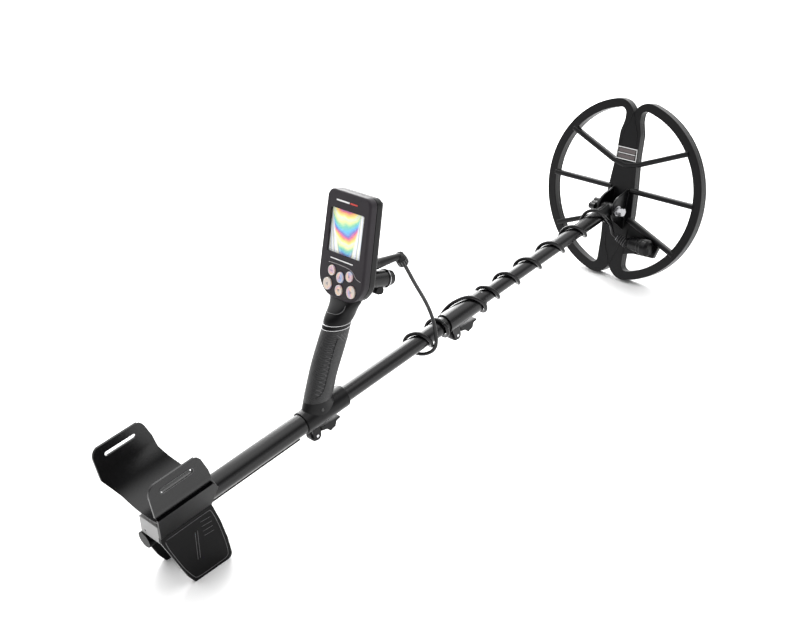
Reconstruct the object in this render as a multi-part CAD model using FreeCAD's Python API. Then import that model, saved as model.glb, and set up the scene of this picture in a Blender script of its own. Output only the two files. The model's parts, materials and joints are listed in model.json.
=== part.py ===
import FreeCAD, Part
import math
import os

# A metal detector: arm cuff and stand, handle and control box, telescoping shaft and a tilting search coil.
# Everything is drawn in the shaft's own frame, in millimetres: the origin is on the coil hinge, +X runs
# forward along the shaft, +Y is to the user's left and +Z is square to the shaft, upwards. At the end the
# parts are turned by the shaft's rise and set down on the floor.

V = FreeCAD.Vector


# ---- driving dimensions ----
SHAFT_RISE = 2.5            # degrees that the shaft climbs towards the coil when the detector stands

UPPER_R, UPPER_BORE = 13.5, 11.9
MID_R, MID_BORE = 11.5, 10.5
LOWER_R, LOWER_BORE = 10.2, 8.9
UPPER_REAR, UPPER_FRONT = -865.8, -573.0
MID_REAR, MID_FRONT = -715.0, -320.0
LOWER_REAR, LOWER_FRONT = -500.0, -24.0
BUSH_LENGTH = 15.0
SLEEVE_R, SLEEVE_REAR, SLEEVE_FRONT = 15.2, -638.0, -568.0
RUNNING_GAP = 0.05          # radial clearance of a running fit
MOVING_GAP = 0.4            # clearance between pieces that only pass each other

COLLAR_REAR, COLLAR_FRONT, COLLAR_R = -374.0, -302.0, 14.0

COIL_TILT = 20.95           # degrees that the coil's fore direction leans forward of square to the shaft
COIL_CENTRE = (32.5, 17.5)  # centre of the coil's top face, X and Z
COIL_R, RING_INNER_R = 140.0, 126.5
COIL_SPLIT, COIL_BOTTOM = -9.0, -14.0
LOBE_X, LOBE_Y = 26.4, 109.0
EAR_INNER, EAR_OUTER = 11.3, 14.6
EAR_OUTLINE = [(5.0, -2.0), (-5.0, 18.5), (-27.0, 35.0), (-48.5, 18.5), (-60.5, -2.0)]
BOLT_R = 4.0

BOX_CENTRE = (-512.4, 209.2)    # middle of the screen on the box's front face, X and Z
BOX_TILT = 21.8
BOX_TOP, BOX_BOTTOM = 50.0, -84.0
BOX_TOP_HALF, BOX_BOTTOM_HALF = 38.2, 41.0
BOX_DEPTH, BOX_WALL = 24.0, 2.5
SEAM_FRONT, SEAM_REAR = -10.5, -11.5
SCREEN_HALF_W, SCREEN_HALF_H = 29.3, 27.7
FITTING_X = 24.0                # the sockets stand right of the box's middle

GRIP_FOOT = (-611.0, 12.0)
GRIP_TILT = 33.5
GRIP_LENGTH = 110.0
# Sections of the handle from the saddle up: X and Z of the middle, tilt, half-width and half-depth.
SADDLE_SECTION = (-606.0, 21.0, 9.0, 15.3, 19.6)
GRIP_SECTIONS = [(-603.8, 24.0, 10.0, 15.5, 20.0), (-594.6, 40.0, 11.0, 15.6, 20.2),
                 (-584.6, 56.0, 12.0, 15.4, 21.0), (-574.0, 71.0, 12.0, 15.2, 21.8),
                 (-563.2, 86.0, 12.0, 15.2, 21.6), (-554.0, 100.0, 12.0, 15.6, 19.6)]
RING_SECTIONS = [(-554.0, 100.0, 12.0, 16.0, 20.0), (-551.4, 104.0, 12.0, 16.2, 19.8)]
NECK_SECTIONS = [(-551.4, 104.0, 12.0, 15.8, 19.2), (-543.0, 112.5, 17.0, 17.0, 20.6),
                 (-535.5, 121.0, 21.0, 21.0, 15.6),
                 (-531.2, 128.5, 21.8, 26.5, 10.8), (-528.0, 136.5, 21.8, 28.0, 10.0)]

# Side outline of the cuff as X and Z, from the rear top round to the front top.
CUFF_SIDE = [(-885, 99), (-885, 56), (-879, 44), (-873, 31), (-868, 12), (-787, 12), (-794, 28), (-800, 40),
             (-806, 55), (-808, 72), (-816, 99)]
END_PLATE_REAR = -869.0
CUFF_SCREW_X = (-852.0, -812.0)
BRACKET_SIDE = [(-884, 52), (-874, -21), (-811, -21), (-806, 12), (-799, 38), (-807, 52)]
LEFT_SET_BACK = [(-900, 60), (-868, 60), (-856, 9), (-868, -26), (-900, -26)]
CUFF_HALF, CUFF_TOP_HALF, CUFF_WALL = 52.5, 54.0, 3.0
CUFF_SPRING, CUFF_TOP, CUFF_FLOOR = 66.0, 98.0, 16.8
SLOT_Z, SLOT_FRONT, SLOT_REAR, SLOT_HALF = 84.6, -827.0, -870.0, 2.8
LEG_INNER, LEG_OUTER = 30.0, 35.0
FOOT_INNER, FOOT_OUTER = 27.0, 31.8

CABLE_R = 2.6
WINDING_STEP = 30


# ---- helpers ----
def rod_x(x0, x1, radius):
    return Part.makeCylinder(radius, x1 - x0, V(x0, 0, 0), V(1, 0, 0))


def tube_x(x0, x1, radius, bore):
    return rod_x(x0, x1, radius).cut(rod_x(x0, x1, bore))


def rod_between(start, end, r_start, r_end):
    axis = end - start
    if abs(r_start - r_end) < 1e-6:
        return Part.makeCylinder(r_start, axis.Length, start, axis)
    return Part.makeCone(r_start, r_end, axis.Length, start, axis)


def slab(x0, x1, y0, y1, z0, z1):
    return Part.makeBox(x1 - x0, y1 - y0, z1 - z0, V(x0, y0, z0))


def rod_y(x, z, y0, y1, radius):
    return Part.makeCylinder(radius, y1 - y0, V(x, y0, z), V(0, 1, 0))


def leaning(origin_xz, tilt):
    """Local frame: x to the user's right, y up the leaning face, z out of it towards the user."""
    s, c = math.sin(math.radians(tilt)), math.cos(math.radians(tilt))
    x, z = origin_xz
    return FreeCAD.Placement(FreeCAD.Matrix(0, s, -c, x, -1, 0, 0, 0, 0, c, s, z, 0, 0, 0, 1))


def placed(shape, placement):
    done = shape.copy()
    done.Placement = placement.multiply(shape.Placement)
    return done


def circle_arc(cx, cy, radius, a0, a1):
    points = []
    for angle in (a0, (a0 + a1) / 2, a1):
        turn = math.radians(angle)
        points.append(V(cx + radius * math.cos(turn), cy + radius * math.sin(turn), 0))
    return Part.Arc(*points).toShape()


def prism(face_edges, z0, z1):
    face = Part.Face(Part.Wire(face_edges))
    face.translate(V(0, 0, z0))
    return face.extrude(V(0, 0, z1 - z0))


def polygon(points):
    corners = [V(x, y, 0) for x, y in points]
    return Part.makePolygon(corners + corners[:1]).Edges


def polygon_y(points, y0, y1):
    """A prism along Y from corners given as X and Z."""
    corners = [V(x, y0, z) for x, z in points]
    face = Part.Face(Part.makePolygon(corners + corners[:1]))
    return face.extrude(V(0, y1 - y0, 0))


def edges_along(shape, direction, accept=lambda point: True):
    found = []
    for edge in shape.Edges:
        ends = [v.Point for v in edge.Vertexes]
        if len(ends) != 2:
            continue
        line = ends[1] - ends[0]
        straight = abs(line.Length - edge.Length) < 1e-6
        if straight and line.cross(direction).Length < 1e-6 and accept(ends[0]):
            found.append(edge)
    return found


def fused(shapes):
    return shapes[0].multiFuse(shapes[1:]).removeSplitter()


def section(x, z, tilt, half_width, half_depth):
    """An ellipse across the handle, whose plane leans forward by the tilt."""
    circle = Part.Wire([Part.Circle(V(0, 0, 0), V(0, 1, 0), 1.0).toShape()])
    stretch = FreeCAD.Matrix()
    stretch.scale(half_width, 1, half_depth)
    return placed(circle.transformGeometry(stretch), leaning((x, z), tilt))


def oval_prism(x, y, half_x, half_y, z0, z1):
    major, minor = V(0, half_y, 0), V(half_x, 0, 0)
    if half_x > half_y:
        major, minor = minor, major
    wire = Part.Wire([Part.Ellipse(major, minor, V(0, 0, 0)).toShape()])
    solid = Part.Face(wire).extrude(V(0, 0, z1 - z0))
    solid.translate(V(x, y, z0))
    return solid


# ---- shaft ----
def upper_tube():
    return tube_x(UPPER_REAR, UPPER_FRONT, UPPER_R, UPPER_BORE).cut(cuff_screws())


def tube_end_cap():
    """The plate that closes the rear of the tube and bracket, with a screw hole low on its left."""
    outline = [(-23, 8.8), (22, 8.8), (29.5, -19.3), (-29, -19.3)]
    plate = side_prism(outline, END_PLATE_REAR, UPPER_REAR)
    plug = rod_x(UPPER_REAR, UPPER_REAR + 6, UPPER_BORE)
    hole = rod_x(END_PLATE_REAR - 1, UPPER_REAR + 1, 1.4)
    hole.translate(V(0, 19, -12.5))
    return fused([plate, plug]).cut(hole).cut(cuff_bracket())


def underside_rail():
    rail = slab(-804, -648, -3.5, 3.5, -UPPER_R - 4.2, -UPPER_R + 2)
    return rail.cut(rod_x(-810, -640, UPPER_R))


def mid_tube():
    return tube_x(MID_REAR + BUSH_LENGTH, MID_FRONT, MID_R, MID_BORE)


def mid_bush():
    return tube_x(MID_REAR, MID_REAR + BUSH_LENGTH, UPPER_BORE - RUNNING_GAP, MID_BORE)


def collar():
    body = rod_x(COLLAR_REAR, COLLAR_FRONT, COLLAR_R)
    ears = lever_ears(LOWER_LEVER, COLLAR_R)
    body = body.fuse(ears).cut(rod_x(COLLAR_REAR, MID_FRONT, MID_R))
    return body.cut(rod_x(MID_FRONT, COLLAR_FRONT, LOWER_R + MOVING_GAP))


def lower_tube():
    return tube_x(LOWER_REAR + BUSH_LENGTH, LOWER_FRONT, LOWER_R, LOWER_BORE)


def lower_bush():
    ring = rod_x(LOWER_REAR, LOWER_REAR + BUSH_LENGTH, MID_BORE - RUNNING_GAP)
    spigot = rod_x(LOWER_REAR + BUSH_LENGTH, LOWER_REAR + 2 * BUSH_LENGTH, LOWER_BORE)
    return ring.fuse(spigot).cut(rod_x(LOWER_REAR, 0, LOWER_BORE - 1.6))


def end_fitting():
    half = EAR_INNER - 2.3
    eye = rod_y(0, 0, -half, half, LOWER_R - 0.2)
    neck = slab(-24, 0, -half, half, -LOWER_R + 0.2, LOWER_R - 0.2).common(rod_x(-24, 0, LOWER_R))
    shoulder = rod_x(LOWER_FRONT, -12, LOWER_R)
    spigot = rod_x(LOWER_FRONT - 34, LOWER_FRONT, LOWER_BORE)
    body = fused([eye, neck, shoulder, spigot])
    body = body.cut(rod_y(0, 0, -half, half, BOLT_R + RUNNING_GAP))
    return body.cut(slab(-30, -7.5, -1.1, 1.1, 2, LOWER_R + 1))


def hinge_washers():
    inner = EAR_INNER - 2.3
    washers = []
    for side in (-1, 1):
        y0, y1 = sorted((side * inner, side * (EAR_INNER - 0.3)))
        washers.append(rod_y(0, 0, y0, y1, 8.6).cut(rod_y(0, 0, y0, y1, BOLT_R + RUNNING_GAP)))
    return Part.makeCompound(washers)


# ---- cam levers: pivot X, pivot Z ----
UPPER_LEVER = (-624.0, -25.0)
LOWER_LEVER = (-360.0, -24.5)
LEVER_HEAD_R = 8.4
PIN_R = 2.0


def lever_ears(pivot, sleeve_r):
    x, z = pivot
    ears = []
    for side in (-1, 1):
        y0, y1 = sorted((side * 5.3, side * 8.0))
        plate = slab(x - 6, x + 6, y0, y1, z, 1 - sleeve_r * 0.8)
        ear = plate.fuse(rod_y(x, z, y0, y1, 6)).cut(rod_y(x, z, y0, y1, PIN_R))
        ears.append(ear)
    return Part.makeCompound(ears)


def cam_lever(pivot):
    x, z = pivot
    head = rod_y(x, z, -4.8, 4.8, LEVER_HEAD_R)
    neck = polygon_y([(x, z + 8.2), (x + 12, z + 6.9), (x + 12, z + 1.5), (x, z - 3)], -4.8, 4.8)
    blade = polygon_y([(x + 9, z + 7.1), (x + 41, z + 4.6), (x + 41, z + 3.0), (x + 34, z + 1.4),
                       (x + 31, z - 4.6), (x + 22, z - 6.6), (x + 17, z - 0.6), (x + 9, z + 1.6)], -6.8, 6.8)
    lever = fused([head, neck, blade])
    return lever.cut(rod_y(x, z, -5, 5, PIN_R + RUNNING_GAP))


def cam_pin(pivot):
    x, z = pivot
    return rod_y(x, z, -8.4, 8.4, PIN_R)


# ---- handle ----
GRIP = leaning(GRIP_FOOT, GRIP_TILT)
CORE_HALF_X, CORE_HALF_Z = 9.5, 12.5


def grip_core():
    core = oval_prism(0, 0, CORE_HALF_X, CORE_HALF_Z, 0, GRIP_LENGTH)
    core.rotate(V(0, 0, 0), V(1, 0, 0), -90)
    return placed(core, GRIP)


def handle_body():
    foot = Part.Wire([Part.Ellipse(V(31, 0, 0), V(0, 14.7, 0), V(0, 0, 0)).toShape()])
    foot.translate(V(-609, 0, 1))
    foot.rotate(V(-609, 0, 1), V(0, 0, 1), 180)
    saddle = Part.makeLoft([foot, oval_at(SADDLE_SECTION)], True)
    sleeve = rod_x(SLEEVE_REAR, SLEEVE_FRONT, SLEEVE_R)
    body = fused([sleeve, saddle, grip_core(), lever_ears(UPPER_LEVER, SLEEVE_R)])
    body = body.cut(rod_x(SLEEVE_REAR - 20, UPPER_FRONT, UPPER_R))
    body = body.cut(rod_x(UPPER_FRONT, SLEEVE_FRONT, MID_R + MOVING_GAP))
    return body.cut(handle_screws())


def oval_at(station):
    """The same ellipse as a section, starting from its front."""
    x, z, tilt, half_width, half_depth = station
    wire = Part.Wire([Part.Ellipse(V(0, 0, half_depth), V(half_width, 0, 0), V(0, 0, 0)).toShape()])
    return placed(wire, leaning((x, z), tilt))


def grip_sleeve():
    wires = [section(*SADDLE_SECTION)] + [section(*station) for station in GRIP_SECTIONS]
    return Part.makeLoft(wires, True).cut(grip_core())


def grip_ring():
    return Part.makeLoft([section(*station) for station in RING_SECTIONS], True).cut(grip_core())


def handle_screws():
    screws = []
    for side in (-1, 1):
        head = Part.makeCylinder(2.4, 2.2, V(-612, side * 14.9, 11.5), V(0, -side, 0))
        screws.append(head)
    return Part.makeCompound(screws)


def box_neck():
    neck = Part.makeLoft([section(*station) for station in NECK_SECTIONS], True)
    return neck.cut(box_block()).cut(grip_core())


# ---- control box, in its leaning frame ----
BOX = leaning(BOX_CENTRE, BOX_TILT)
BUTTONS = {
    "button_upper_left": (-16.0, -50.0, 6.0, 6.7),
    "button_upper_centre": (0.0, -55.3, 6.2, 7.0),
    "button_upper_right": (16.0, -50.0, 6.0, 6.7),
    "button_lower_left": (-21.2, -68.4, 7.4, 8.0),
    "button_lower_centre": (0.0, -71.6, 6.2, 7.0),
    "button_lower_right": (21.2, -68.4, 7.4, 8.0),
}
FRONT_WALL = 2.6
FLANGE_TOP = -3.0
FLANGE_THICK = 1.2
MAT_TOP = -5.5
BOARD_TOP = -8.2
SCREW_SPOTS = [(-33.2, 43.0), (33.2, 43.0), (-33.2, -35.0), (33.2, -35.0)]


def box_prism(inset, z0, z1):
    top, bottom = BOX_TOP - inset, BOX_BOTTOM + inset
    top_half, bottom_half = BOX_TOP_HALF - inset, BOX_BOTTOM_HALF - inset
    outline = polygon([(-top_half, top), (top_half, top), (bottom_half, bottom), (-bottom_half, bottom)])
    block = prism(outline, z0, z1)
    block = block.makeFillet(11 - inset, edges_along(block, V(0, 0, 1), lambda p: p.y > 0))
    return block.makeFillet(30 - inset, edges_along(block, V(0, 0, 1), lambda p: p.y < -60))


def rim_edges(block, z):
    return [e for e in block.Edges if all(abs(v.Point.z - z) < 1e-6 for v in e.Vertexes)]


def box_outer():
    block = box_prism(0, -BOX_DEPTH, 0)
    block = block.makeFillet(3.0, rim_edges(block, 0))
    return block.makeFillet(6.0, rim_edges(block, -BOX_DEPTH))


def box_block():
    return placed(box_outer(), BOX)


def box_hollow():
    return box_prism(BOX_WALL, -BOX_DEPTH + BOX_WALL, -FRONT_WALL)


def box_half(z0, z1):
    keep = Part.makeBox(200, 300, z1 - z0, V(-100, -150, z0))
    return box_outer().cut(box_hollow()).common(keep)


def front_shell():
    shell = box_half(SEAM_FRONT, 1)
    for x, y in SCREW_SPOTS:
        boss = Part.makeCylinder(3.0, -SEAM_FRONT - FRONT_WALL, V(x, y, SEAM_FRONT))
        shell = shell.fuse(boss)
    hole = Part.makeBox(2 * SCREEN_HALF_W, 2 * SCREEN_HALF_H, 10, V(-SCREEN_HALF_W, -SCREEN_HALF_H, -5))
    shell = shell.cut(hole.makeFillet(2.0, edges_along(hole, V(0, 0, 1))))
    for x, y, half_x, half_y in BUTTONS.values():
        shell = shell.cut(oval_prism(x, y, half_x + 0.3, half_y + 0.3, -5, 1))
    return placed(shell.cut(screw_group()), BOX)


def rear_shell():
    shell = box_half(-BOX_DEPTH - 1, SEAM_REAR)
    for x, y in SCREW_SPOTS:
        boss = Part.makeCylinder(3.4, BOX_DEPTH + SEAM_REAR - BOX_WALL, V(x, y, -BOX_DEPTH + BOX_WALL))
        shell = shell.fuse(boss)
    return placed(shell.cut(screw_group()), BOX)


def box_gasket():
    ring = box_prism(0.5, SEAM_REAR, SEAM_FRONT).cut(box_prism(BOX_WALL, SEAM_REAR, SEAM_FRONT))
    return placed(ring, BOX)


def screw_group():
    screws = []
    for x, y in SCREW_SPOTS:
        head = Part.makeCylinder(2.6, 3, V(x, y, -BOX_DEPTH))
        shank = Part.makeCylinder(1.4, 15, V(x, y, -BOX_DEPTH + 3))
        screws.append(head.fuse(shank))
    return Part.makeCompound(screws)


def window():
    pane = Part.makeBox(62, 59, 1.2, V(-31, -29.5, -FRONT_WALL - 1.2))
    return placed(pane.makeFillet(3.0, edges_along(pane, V(0, 0, 1))), BOX)


def display():
    return placed(Part.makeBox(60, 57.5, 3.9, V(-30, -28.75, -FRONT_WALL - 5.3)), BOX)


def main_board():
    board = Part.makeBox(58, 118, 1.6, V(-29, -74, BOARD_TOP - 1.6))
    return placed(board.makeFillet(16.0, edges_along(board, V(0, 0, 1), lambda p: p.y < 0)), BOX)


def keypad_mat():
    mat = Part.makeBox(57, 42, MAT_TOP - BOARD_TOP, V(-28.5, -76, BOARD_TOP))
    mat = mat.makeFillet(15.0, edges_along(mat, V(0, 0, 1), lambda p: p.y < -60))
    return placed(mat, BOX)


def battery():
    cell = Part.makeBox(52, 62, 8, V(-26, -22, -20.5))
    return placed(cell.makeFillet(1.5, edges_along(cell, V(0, 0, 1))), BOX)


def speaker():
    body = Part.makeCylinder(13, 5, V(0, -48, -20.5)).fuse(Part.makeCylinder(7, 8, V(0, -48, -20.5)))
    return placed(body, BOX)


def button(name):
    x, y, half_x, half_y = BUTTONS[name]
    cap = oval_prism(x, y, half_x, half_y, FLANGE_TOP - FLANGE_THICK, 1.5)
    cap = cap.makeFillet(1.2, [e for e in cap.Edges if abs(e.BoundBox.ZMin - 1.5) < 1e-6])
    flange = oval_prism(x, y, half_x + 1.1, half_y + 1.1, FLANGE_TOP - FLANGE_THICK, FLANGE_TOP)
    return placed(cap.fuse(flange), BOX)


# ---- sockets behind the box, in the box's frame ----
BOOT_Y, SOCKET_Y = -35.0, -55.0
SOCKET_FRONT, SOCKET_END = -BOX_DEPTH, -57.0
NUT_TOP = V(-452.7, -FITTING_X, 151.7)
NUT_END = V(-449.0, -FITTING_X, 141.6)
SPIGOT_R = 4.5
NUT_FLUTES = 18


def coil_socket():
    flange = Part.makeCylinder(8.8, 2.5, V(FITTING_X, BOOT_Y, -BOX_DEPTH - 2.5))
    barrel = Part.makeCylinder(7.2, 9, V(FITTING_X, BOOT_Y, -BOX_DEPTH - 11.5))
    return placed(flange.fuse(barrel), BOX)


def lead_plug():
    up = (NUT_TOP - NUT_END).normalize()
    start = BOX.multVec(V(FITTING_X, BOOT_Y, -BOX_DEPTH - 11.5))
    boot = rod_between(start, NUT_TOP + up * 3.4, 6.8, 4.2)
    head = rod_between(NUT_TOP, NUT_TOP + up * 5.4, 7.0, 6.2)
    spigot = rod_between(NUT_END, NUT_TOP, SPIGOT_R, SPIGOT_R)
    nut_room = rod_between(NUT_END - up * 2, NUT_TOP, 8.2, 8.2)
    return fused([boot.cut(nut_room), head, spigot]).cut(coil_socket())


def plug_nut():
    axis = (NUT_END - NUT_TOP).normalize()
    start, end = NUT_TOP + axis * 0.4, NUT_END - axis * 0.4
    bore = SPIGOT_R + RUNNING_GAP
    nut = rod_between(start, end, 7.3, 7.3).cut(rod_between(NUT_TOP, NUT_END, bore, bore))
    side = axis.cross(V(0, 1, 0)).normalize()
    for step in range(NUT_FLUTES):
        turn = 2 * math.pi * step / NUT_FLUTES
        out = side * math.cos(turn) + V(0, 1, 0) * math.sin(turn)
        groove = rod_between(start + out * 7.6, end + out * 7.6, 0.8, 0.8)
        nut = nut.cut(groove)
    return nut


def headphone_socket():
    length = SOCKET_FRONT - SOCKET_END
    body = Part.makeCylinder(11.0, length, V(FITTING_X, SOCKET_Y, SOCKET_END))
    bore = Part.makeCylinder(3.2, 20, V(FITTING_X, SOCKET_Y, SOCKET_END))
    ring = Part.makeCylinder(11.8, 3.0, V(FITTING_X, SOCKET_Y, SOCKET_END + 3))
    return placed(body.fuse(ring).cut(bore), BOX)


def socket_cap():
    cap = Part.makeCylinder(9.8, 6, V(FITTING_X, SOCKET_Y, SOCKET_END - 6.3))
    cap = cap.makeFillet(2.0, rim_edges(cap, SOCKET_END - 6.3))
    stem = Part.makeCylinder(3.15, 14, V(FITTING_X, SOCKET_Y, SOCKET_END - 0.3))
    return placed(cap.fuse(stem), BOX)


def socket_tab():
    plate = Part.makeBox(9, 9, 12, V(FITTING_X - 4.5, SOCKET_Y - 19, SOCKET_END + 8))
    plate = plate.makeFillet(3.5, edges_along(plate, V(1, 0, 0)))
    socket = Part.makeCylinder(11.0, 60, V(FITTING_X, SOCKET_Y, SOCKET_END))
    return placed(plate.cut(socket), BOX)


# ---- arm cuff and stand ----
def cuff_section(outward, x0, x1):
    """Solid inside the cuff's curve, grown outward by a wall."""
    half, top_half, low = CUFF_HALF + outward, CUFF_TOP_HALF + outward, CUFF_FLOOR - outward
    depth = CUFF_SPRING - low
    major, minor = V(x0, half, CUFF_SPRING), V(x0, 0, CUFF_SPRING - depth)
    curve = Part.Ellipse(major, minor, V(x0, 0, CUFF_SPRING))
    left, right = curve.parameter(V(x0, half, CUFF_SPRING)), curve.parameter(V(x0, -half, CUFF_SPRING))
    first, last = sorted((left, right))
    bottom = Part.ArcOfEllipse(curve, first, last).toShape()
    if bottom.BoundBox.ZMax > CUFF_SPRING + 1:
        bottom = Part.ArcOfEllipse(curve, last, first + 2 * math.pi).toShape()
    top = [V(x0, -half, CUFF_SPRING), V(x0, -top_half, CUFF_TOP), V(x0, top_half, CUFF_TOP),
           V(x0, half, CUFF_SPRING)]
    face = Part.Face(Part.Wire([bottom] + Part.makePolygon(top).Edges))
    return face.extrude(V(x1 - x0, 0, 0))


def cuff_plate():
    rear, front = CUFF_SIDE[0][0], CUFF_SIDE[5][0]
    plate = cuff_section(CUFF_WALL, rear, front).cut(cuff_section(0, rear, front))
    side = polygon_y(CUFF_SIDE, -80, 80)
    side = side.makeFillet(14.0, edges_along(side, V(0, 1, 0), lambda p: p.z > 98))
    plate = plate.common(side)
    slot = slab(SLOT_REAR, SLOT_FRONT, -80, 80, SLOT_Z - SLOT_HALF, SLOT_Z + SLOT_HALF)
    slot = slot.makeFillet(SLOT_HALF - 0.05, edges_along(slot, V(0, 1, 0)))
    return plate.cut(slot).cut(cuff_screws())


def cuff_screws():
    screws = []
    for x in CUFF_SCREW_X:
        head = Part.makeCylinder(4.0, 2.0, V(x, 0, CUFF_FLOOR - 1.2), V(0, 0, 1))
        shank = Part.makeCylinder(2.0, 3.0, V(x, 0, CUFF_FLOOR - 4.0), V(0, 0, 1))
        screws.append(head.fuse(shank))
    return Part.makeCompound(screws)


def cuff_bracket():
    """A moulded trough under the cuff; its right wall runs further back than its left."""
    rear, front = BRACKET_SIDE[0][0], BRACKET_SIDE[4][0]
    profile = [(-57, 52), (-37, 11), (-35, 9), (-30, 9), (-16, -17), (-10, -19.3), (10, -19.3), (16, -17),
               (30, 9), (35, 9), (37, 11), (57, 52)]
    outer = side_prism(profile, rear, front).common(polygon_y(BRACKET_SIDE, -80, 80))
    outer = outer.cut(polygon_y(LEFT_SET_BACK, -1, 80))
    window = [(-52, 52), (-32, 11), (-32, -30), (40, -30), (40, 52)]
    outer = outer.cut(side_prism(window, rear - 1, UPPER_REAR))
    outer = outer.cut(cuff_section(CUFF_WALL, rear - 1, front + 1))
    return outer.cut(rod_x(rear - 5, front + 5, UPPER_R)).cut(cuff_screws())


def side_prism(profile, x0, x1):
    """A prism along X from corners given as Y and Z."""
    corners = [V(x0, y, z) for y, z in profile]
    face = Part.Face(Part.makePolygon(corners + corners[:1]))
    return face.extrude(V(x1 - x0, 0, 0))


def stand(floor_height):
    """The two legs and the bridge under the tube; floor_height gives the floor's Z at an X."""
    corner_rear, corner_front = (-853, floor_height(-853)), (-797.5, floor_height(-797.5))
    outline = [(-878, 8.8), (-806, 8.8), (-800.5, -20), (-797.5, -50), corner_front, corner_rear, (-859, -66),
               (-879, 3)]
    low = corner_front[1] - 2
    sole = polygon_y(outline, -LEG_OUTER, LEG_OUTER)
    sole = sole.makeFillet(7.0, edges_along(sole, V(0, 1, 0), lambda p: p.z < low + 10 and p.x > -820))
    sole = sole.makeFillet(4.0, edges_along(sole, V(0, 1, 0), lambda p: p.z < low + 10 and p.x < -820))
    bulge = rod_x(-871, -858, 11.0)
    bulge.translate(V(0, 26.5, -30.5))
    pieces = [slab(-865, -812, -LEG_INNER, LEG_INNER, -25.5, -19.6), bulge]
    for side in (-1, 1):
        top_out, top_in = side * LEG_OUTER, side * LEG_INNER
        foot_out, foot_in = side * FOOT_OUTER, side * FOOT_INNER
        leg = side_prism([(top_out, 8.8), (foot_out, low), (foot_in, low), (top_in, 8.8)], -890, -790)
        leg = leg.common(sole)
        if side > 0:
            leg = leg.cut(polygon_y(LEFT_SET_BACK, 0, 80))
        pieces.append(leg)
        pieces.append(side_prism([(side * 29.5, -19.6), (side * 28.6, -38), (side * 18, -25.5)], -850, -824))
    return fused(pieces)


# ---- search coil, in its leaning frame: x right, y fore, z out of the top face ----
COIL = leaning(COIL_CENTRE, COIL_TILT)
PIVOT = COIL.inverse().multVec(V(0, 0, 0))
LOBE_ANGLE = math.degrees(math.atan2(LOBE_Y, LOBE_X))
LOBE_R = COIL_R - math.hypot(LOBE_X, LOBE_Y)
NOTCH_Y = LOBE_Y + math.sqrt(LOBE_R ** 2 - LOBE_X ** 2)
NOTCH_ANGLE = math.degrees(math.atan2(NOTCH_Y - LOBE_Y, LOBE_X))
RIB_EDGE = [(13.5, 140), (13.5, 106), (18.5, 88), (19.0, 52), (24.0, 0), (26.0, -36), (22.5, -80),
            (22.5, -140)]
WINDING_MID_R = 133.2
WINDING_CORNER_R = WINDING_MID_R - math.hypot(LOBE_X, LOBE_Y)
LABEL_CORNERS = [(-18.5, 66.3), (18.5, 66.3), (19.2, 46.3), (-19.2, 46.3)]
BOSS_FORE, BOSS_HEIGHT = -74.0, 11.0
RELIEF_BASE = V(36.0, -76.5, 12.0)
RELIEF_TIP = V(18.0, -69.0, 18.0)


def coil_outline():
    a, n = LOBE_ANGLE, NOTCH_ANGLE
    return [
        circle_arc(LOBE_X, LOBE_Y, LOBE_R, 180 - n, a),
        circle_arc(0, 0, COIL_R, a, -a),
        circle_arc(LOBE_X, -LOBE_Y, LOBE_R, -a, n - 180),
        circle_arc(-LOBE_X, -LOBE_Y, LOBE_R, -n, a - 180),
        circle_arc(0, 0, COIL_R, a - 180, -a - 180),
        circle_arc(-LOBE_X, LOBE_Y, LOBE_R, 180 - a, n),
    ]


def coil_window(side, z0, z1):
    edge = [(side * x, y) for x, y in RIB_EDGE]
    far = polygon(edge + [(side * 150, -140), (side * 150, 140)])
    disc = Part.makeCylinder(RING_INNER_R, z1 - z0, V(0, 0, z0))
    gap = prism(far, z0, z1).common(disc)
    return gap.makeFillet(9.0, edges_along(gap, V(0, 0, 1)))


def coil_plate(z0, z1):
    plate = prism(coil_outline(), z0, z1)
    for side in (-1, 1):
        plate = plate.cut(coil_window(side, z0 - 1, z1 + 1))
    return plate


def spoke(start, end, half, z0, z1):
    """A straight bar with a rounded top between two points of the coil's plane."""
    (x0, y0), (x1, y1) = start, end
    length = math.hypot(x1 - x0, y1 - y0)
    bar = Part.makeBox(length, 2 * half, z1 - z0, V(0, -half, z0))
    top = [e for e in edges_along(bar, V(1, 0, 0)) if e.BoundBox.ZMin > (z0 + z1) / 2]
    bar = bar.makeFillet(half * 0.75, top)
    angle = math.degrees(math.atan2(y1 - y0, x1 - x0))
    bar.rotate(V(0, 0, 0), V(0, 0, 1), angle)
    bar.translate(V(x0, y0, 0))
    return bar


def coil_spokes():
    bars = []
    for side in (-1, 1):
        bars.append(spoke((side * 128, 2), (side * 18, 2), 4.0, -7, 2))
        bars.append(spoke((side * 105, 77), (side * 22, 43), 4.0, -7, 2))
        bars.append(spoke((side * 109, -77), (side * 21, -42), 4.0, -7, 2))
        bars.append(spoke((side * 23.5, 43.6), (0, 39), 4.0, -4, 2))
    return bars


def hinge_ear(x0, x1):
    """An arched fin; its outline is given as fore and height."""
    front, brow, crown, nape, rear = [V(x0, fore, height) for fore, height in EAR_OUTLINE]
    edges = [
        Part.LineSegment(front, brow).toShape(),
        Part.Arc(brow, crown, nape).toShape(),
        Part.LineSegment(nape, rear).toShape(),
        Part.LineSegment(rear, front).toShape(),
    ]
    return Part.Face(Part.Wire(edges)).extrude(V(x1 - x0, 0, 0))


def along_pivot(x0, x1, radius):
    return Part.makeCylinder(radius, x1 - x0, V(x0, PIVOT.y, PIVOT.z), V(1, 0, 0))


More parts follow.
